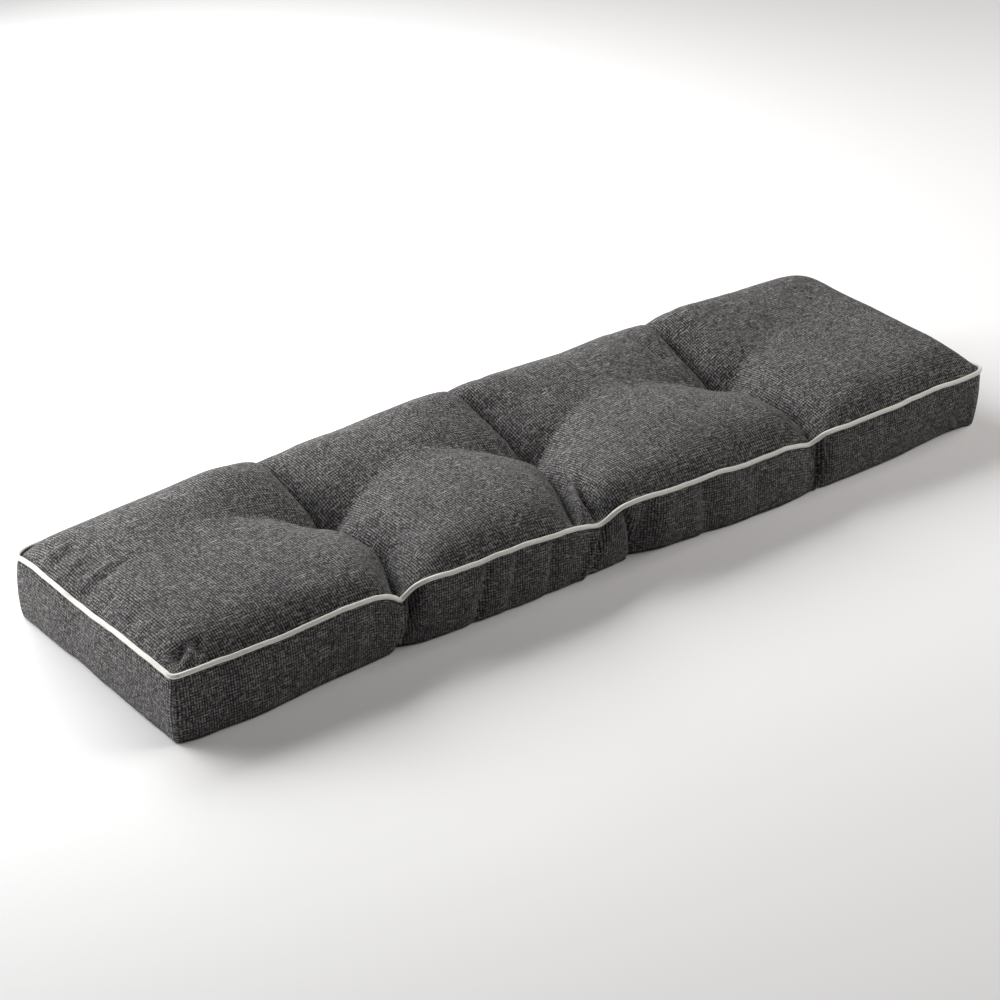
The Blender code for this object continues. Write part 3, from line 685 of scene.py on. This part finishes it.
# ---------------------------------------------------------------- materials
class Graph:
    """Small helper for writing node trees in reading order."""

    def __init__(self, mat):
        mat.use_nodes = True
        self.t = mat.node_tree
        self.t.nodes.clear()

    def node(self, kind, **sets):
        n = self.t.nodes.new(kind)
        for key, value in sets.items():
            setattr(n, key, value)
        return n

    def put(self, socket, value):
        if isinstance(value, bpy.types.NodeSocket):
            self.t.links.new(value, socket)
        else:
            socket.default_value = value

    def math(self, op, a, b=None, c=None, clamp=False):
        n = self.node("ShaderNodeMath", operation=op, use_clamp=clamp)
        self.put(n.inputs[0], a)
        if b is not None:
            self.put(n.inputs[1], b)
        if c is not None:
            self.put(n.inputs[2], c)
        return n.outputs[0]

    def xyz(self, x, y, z=0.0):
        n = self.node("ShaderNodeCombineXYZ")
        self.put(n.inputs[0], x)
        self.put(n.inputs[1], y)
        self.put(n.inputs[2], z)
        return n.outputs[0]

    def noise(self, vec, scale, detail=2.0, rough=0.5, lac=2.0):
        n = self.node("ShaderNodeTexNoise")
        self.put(n.inputs["Vector"], vec)
        n.inputs["Scale"].default_value = scale
        n.inputs["Detail"].default_value = detail
        n.inputs["Roughness"].default_value = rough
        n.inputs["Lacunarity"].default_value = lac
        return n.outputs["Fac"]

    def ramp(self, fac, stops):
        n = self.node("ShaderNodeValToRGB")
        self.put(n.inputs[0], fac)
        e = n.color_ramp.elements
        while len(e) > len(stops):
            e.remove(e[-1])
        while len(e) < len(stops):
            e.new(0.5)
        for el, (pos, col) in zip(e, stops):
            el.position = pos
            el.color = (*col, 1.0)
        return n.outputs["Color"]

    def remap(self, v, a, b, c=0.0, d=1.0):
        n = self.node("ShaderNodeMapRange")
        self.put(n.inputs[0], v)
        for k, val in zip((1, 2, 3, 4), (a, b, c, d)):
            n.inputs[k].default_value = val
        return n.outputs[0]

    def mix(self, fac, a, b, kind="RGBA", blend="MIX"):
        n = self.node("ShaderNodeMix", data_type=kind)
        if kind == "RGBA":
            n.blend_type = blend
            self.put(n.inputs[0], fac)
            self.put(n.inputs[6], a)
            self.put(n.inputs[7], b)
            return n.outputs[2]
        self.put(n.inputs[0], fac)
        self.put(n.inputs[2], a)
        self.put(n.inputs[3], b)
        return n.outputs[0]


def woven(name, pitch, run, contrast, uneven, stops, single=0.0, pale=None, pale_from=(0.77, 0.74), pale_run=(5.0, 18.0),
          pale_width=0.5, turn=0.0, bump=0.35, rough=0.92, sheen=0.05):
    """Plain weave of dark and light yarns. Lengths are in millimetres on the cloth's own map, pairs are (warp, weft).
    pitch is the distance between yarns, run the length over which a yarn changes, contrast the step between dark and
    light yarns, uneven the slow change along a yarn, single the share of single crossings."""
    mat = bpy.data.materials.new(name)
    g = Graph(mat)
    uv = g.node("ShaderNodeUVMap", uv_map="cloth").outputs[0]
    scale = g.node("ShaderNodeVectorMath", operation="SCALE")
    g.put(scale.inputs[0], uv)
    scale.inputs["Scale"].default_value = 1000.0
    vec = scale.outputs[0]
    if turn:
        rot = g.node("ShaderNodeVectorRotate", rotation_type="Z_AXIS")
        g.put(rot.inputs["Vector"], vec)
        rot.inputs["Angle"].default_value = turn
        vec = rot.outputs[0]
    # yarns wander a little
    straight = vec
    for amount, size in ((2.2, 0.03), (0.8, 0.11), (0.22, 0.3)):
        wander = g.node("ShaderNodeTexNoise")
        g.put(wander.inputs["Vector"], straight)
        wander.inputs["Scale"].default_value = size
        wander.inputs["Detail"].default_value = 1.0
        shift = g.node("ShaderNodeVectorMath", operation="MULTIPLY_ADD")
        g.put(shift.inputs[0], wander.outputs["Color"])
        shift.inputs[1].default_value = (amount, amount, 0.0)
        g.put(shift.inputs[2], vec)
        vec = shift.outputs[0]
    sep = g.node("ShaderNodeSeparateXYZ")
    g.put(sep.inputs[0], vec)
    u, v = sep.outputs[0], sep.outputs[1]
    us, vs = g.math("DIVIDE", u, pitch[0]), g.math("DIVIDE", v, pitch[1])
    iu, iv = g.math("FLOOR", us), g.math("FLOOR", vs)

    def yarns(i, along, k, seed):
        """Lightness of one set of yarns: dark and light in turn, each stronger or weaker along its length."""
        sign = g.math("MULTIPLY_ADD", g.math("FLOORED_MODULO", i, 2.0), 2.0, -1.0)
        force = g.noise(g.xyz(g.math("MULTIPLY", i, 5.37), g.math("DIVIDE", along, run[k]), seed), 1.0, 0.0, 0.5)
        slow = g.noise(g.xyz(g.math("MULTIPLY", i, 3.71), g.math("DIVIDE", along, run[k]*1.3), seed+17.0), 1.0, 0.0, 0.5)
        step_ = g.math("MULTIPLY", sign, g.remap(force, 0.35, 0.65, 0.45*contrast[k], 1.5*contrast[k]))
        return g.math("ADD", step_, g.math("MULTIPLY", g.math("SUBTRACT", slow, 0.5), uneven))

    tone = g.math("ADD", g.math("ADD", yarns(iu, v, 0, 3.0), yarns(iv, u, 1, 11.0)), 0.5)
    if single:
        hashed = g.node("ShaderNodeTexWhiteNoise", noise_dimensions="2D")
        g.put(hashed.inputs["Vector"], g.xyz(iu, iv))
        tone = g.math("ADD", tone, g.math("MULTIPLY_ADD", hashed.outputs["Value"], single, -0.5*single))
    body = g.ramp(tone, stops)
    if pale:
        # thin pale slubs in both directions
        ju, jv = g.math("FLOOR", g.math("DIVIDE", u, pale_width)), g.math("FLOOR", g.math("DIVIDE", v, pale_width))
        sw = g.noise(g.xyz(g.math("MULTIPLY", ju, 7.11), g.math("DIVIDE", v, pale_run[0]), 21.0), 1.0, 0.0, 0.5)
        sf = g.noise(g.xyz(g.math("DIVIDE", u, pale_run[1]), g.math("MULTIPLY", jv, 7.11), 33.0), 1.0, 0.0, 0.5)
        slub = g.math("MAXIMUM", g.remap(sw, pale_from[0], pale_from[0]+0.05), g.remap(sf, pale_from[1], pale_from[1]+0.05))
        body = g.mix(slub, body, (*pale, 1.0))
    # broad unevenness of the dye
    cloud = g.noise(straight, 0.02, 3.0, 0.55)
    body = g.mix(1.0, body, g.ramp(cloud, [(0.30, (0.93, 0.93, 0.93)), (0.70, (1.06, 1.06, 1.06))]), blend="MULTIPLY")
    # relief: yarns crossing over and under
    over = g.math("FLOORED_MODULO", g.math("ADD", iu, iv), 2.0)
    hu = g.math("ABSOLUTE", g.math("SINE", g.math("MULTIPLY", us, math.pi)))
    hv = g.math("ABSOLUTE", g.math("SINE", g.math("MULTIPLY", vs, math.pi)))
    bm = g.node("ShaderNodeBump")
    bm.inputs["Strength"].default_value = bump
    bm.inputs["Distance"].default_value = pitch[0]*0.30*MM
    g.put(bm.inputs["Height"], g.mix(over, hu, hv, "FLOAT"))
    bsdf = g.node("ShaderNodeBsdfPrincipled")
    g.put(bsdf.inputs["Base Color"], body)
    g.put(bsdf.inputs["Normal"], bm.outputs[0])
    bsdf.inputs["Roughness"].default_value = rough
    bsdf.inputs["Metallic"].default_value = 0.0
    bsdf.inputs["Specular IOR Level"].default_value = 0.15
    bsdf.inputs["Sheen Weight"].default_value = sheen
    bsdf.inputs["Sheen Roughness"].default_value = 0.55
    out = g.node("ShaderNodeOutputMaterial")
    g.t.links.new(bsdf.outputs[0], out.inputs["Surface"])
    return mat


COVER_CLOTH = woven("cover_weave", pitch=(1.6, 1.8), run=(5.0, 7.0), contrast=(0.185, 0.12), uneven=0.10, single=0.56,
                    stops=[(0.0, (0.0042, 0.0040, 0.0040)), (0.25, (0.0187, 0.0178, 0.0177)), (0.5, (0.0600, 0.0577, 0.0577)),
                           (0.75, (0.1340, 0.1295, 0.1290)), (1.0, (0.257, 0.249, 0.245))],
                    pale=(0.40, 0.388, 0.375))
PIPING_CLOTH = woven("piping_weave", pitch=(0.6, 0.6), run=(3.0, 3.0), contrast=(0.15, 0.15), uneven=0.3, single=0.3, bump=0.4, rough=0.85, turn=0.78,
                     stops=[(0.0, (0.69, 0.67, 0.63)), (0.5, (0.78, 0.76, 0.715)), (1.0, (0.88, 0.86, 0.815))])


# ---------------------------------------------------------------- pieces
cover = cover_mesh()
cover.data.materials.append(COVER_CLOTH)
piping = piping_mesh()
piping.data.materials.append(PIPING_CLOTH)

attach(cover, "root")
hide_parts("cushion")
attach(piping, "root")
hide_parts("piping")

# ---------------------------------------------------------------- floor, light, camera
floor_mesh = bpy.data.meshes.new("floor")
floor_mesh.from_pydata([(-6, -6, -0.0006), (6, -6, -0.0006), (6, 6, -0.0006), (-6, 6, -0.0006)], [], [(0, 1, 2, 3)])
floor = bpy.data.objects.new("floor", floor_mesh)
bpy.context.scene.collection.objects.link(floor)
floor_mat = bpy.data.materials.new("floor_paper")
floor_mat.use_nodes = True
fb = floor_mat.node_tree.nodes["Principled BSDF"]
fb.inputs["Base Color"].default_value = (0.88, 0.88, 0.88, 1.0)
fb.inputs["Roughness"].default_value = 1.0
fb.inputs["Specular IOR Level"].default_value = 0.0
floor_mesh.materials.append(floor_mat)

world = bpy.data.worlds.new("studio")
world.use_nodes = True
world.node_tree.nodes["Background"].inputs[0].default_value = (1.0, 1.0, 1.0, 1.0)
world.node_tree.nodes["Background"].inputs[1].default_value = 0.01
bpy.context.scene.world = world


def softbox(name, direction, distance, size, power, target=(0.0, 0.0, 0.05), color=(1.0, 1.0, 1.0)):
    """Area lamp; size is its width and height."""
    lamp = bpy.data.lights.new(name, "AREA")
    lamp.shape = "RECTANGLE"
    lamp.size, lamp.size_y = size
    lamp.energy = power
    lamp.color = color
    obj = bpy.data.objects.new(name, lamp)
    bpy.context.scene.collection.objects.link(obj)
    place = Vector(target)+Vector(direction).normalized()*distance
    obj.location = place
    obj.rotation_euler = (Vector(target)-place).to_track_quat("-Z", "Y").to_euler()
    return obj


softbox("back", (-0.175, 0.785, 0.595), 1.7, (2.0, 1.1), 64.0, target=(-0.25, 0.05, 0.05))
softbox("low", (-0.759, 0.637, 0.139), 3.4, (1.4, 1.4), 82.0)
softbox("fill", (0.720, -0.262, 0.643), 3.4, (2.4, 2.4), 72.0, color=(1.0, 0.965, 0.945))

cam_data = bpy.data.cameras.new("camera")
cam_data.lens = 104.24
cam_data.sensor_width = 36.0
cam_data.clip_start, cam_data.clip_end = 0.05, 50.0
camera = bpy.data.objects.new("camera", cam_data)
bpy.context.scene.collection.objects.link(camera)
el, az = math.radians(28.706), math.radians(37.474)
look = Vector((math.sin(az)*math.cos(el), math.cos(az)*math.cos(el), -math.sin(el)))
right = Vector((math.cos(az), -math.sin(az), 0.0))
matrix = Matrix((right, right.cross(look), -look)).transposed().to_4x4()
matrix.translation = Vector((-1.90455, -2.43041, 1.70900))
camera.matrix_world = matrix
bpy.context.scene.camera = camera

bpy.context.scene.view_settings.view_transform = "Standard"
bpy.context.scene.view_settings.look = "None"

bpy.context.view_layer.update()
